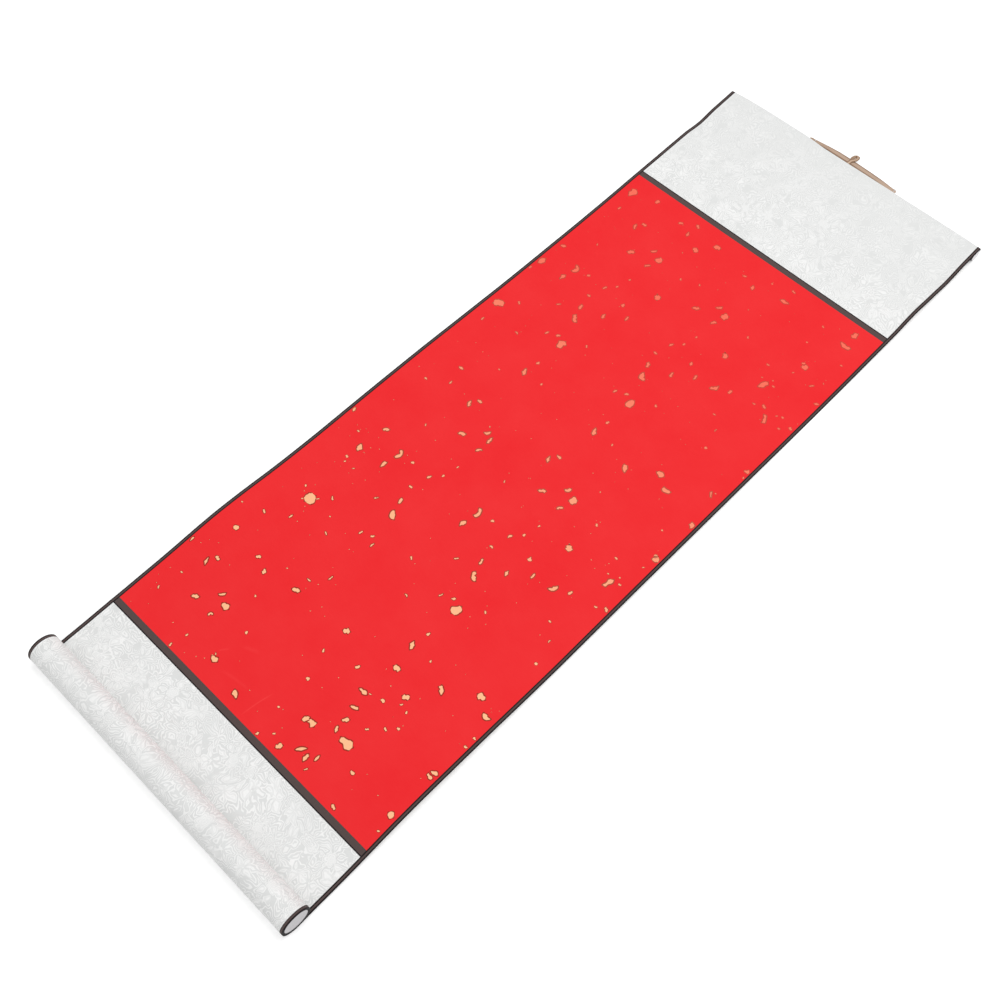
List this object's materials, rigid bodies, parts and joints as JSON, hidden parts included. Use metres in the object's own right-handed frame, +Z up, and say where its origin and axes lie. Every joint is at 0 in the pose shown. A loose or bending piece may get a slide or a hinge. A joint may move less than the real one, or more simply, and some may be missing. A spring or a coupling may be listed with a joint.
{
  "type": "hanging paper scroll",
  "caption": "Blank hanging scroll, unrolled: gold-flecked red paper mounted on pale damask silk, with a roller, a half-round batten and a hanging ribbon.",
  "frame": {"origin": "on the table, under the middle of the scroll as it lies unrolled, ribbon left out", "axes": "+X across the scroll, +Y from the roller at its foot to the batten at its head, +Z up"},
  "size_m": [0.34, 1.005, 0.0296],
  "materials": {
    "backing_paper": "matte laid mounting paper",
    "damask_silk": "pale grey damask with a low sheen",
    "brown_cloth": "fine plain weave, matte",
    "red_paper": "matte dyed paper",
    "gold_leaf": "soft satin leaf",
    "pine": "bare sanded softwood",
    "end_card": "smooth grey card",
    "end_paper": "smooth white paper",
    "staple_wire": "bright drawn wire",
    "tan_tape": "ribbed cotton tape"
  },
  "bodies": {
    "root": {"backing_paper": "backing_paper", "bottom_silk": "damask_silk", "top_silk": "damask_silk", "roller_cover": "damask_silk", "bottom_strip": "brown_cloth", "top_strip": "brown_cloth", "left_binding": "brown_cloth", "right_binding": "brown_cloth", "red_paper": "red_paper", "gold_flecks": "gold_leaf", "roller_dowel": "pine", "top_batten": "pine", "roller_cap_left": "end_card", "roller_cap_right": "end_card", "batten_cap_left": "end_paper", "batten_cap_right": "end_paper", "ribbon_staples": "staple_wire", "hanging_ribbon": "tan_tape", "tie_loop": "tan_tape"}
  },
  "joints": []
}
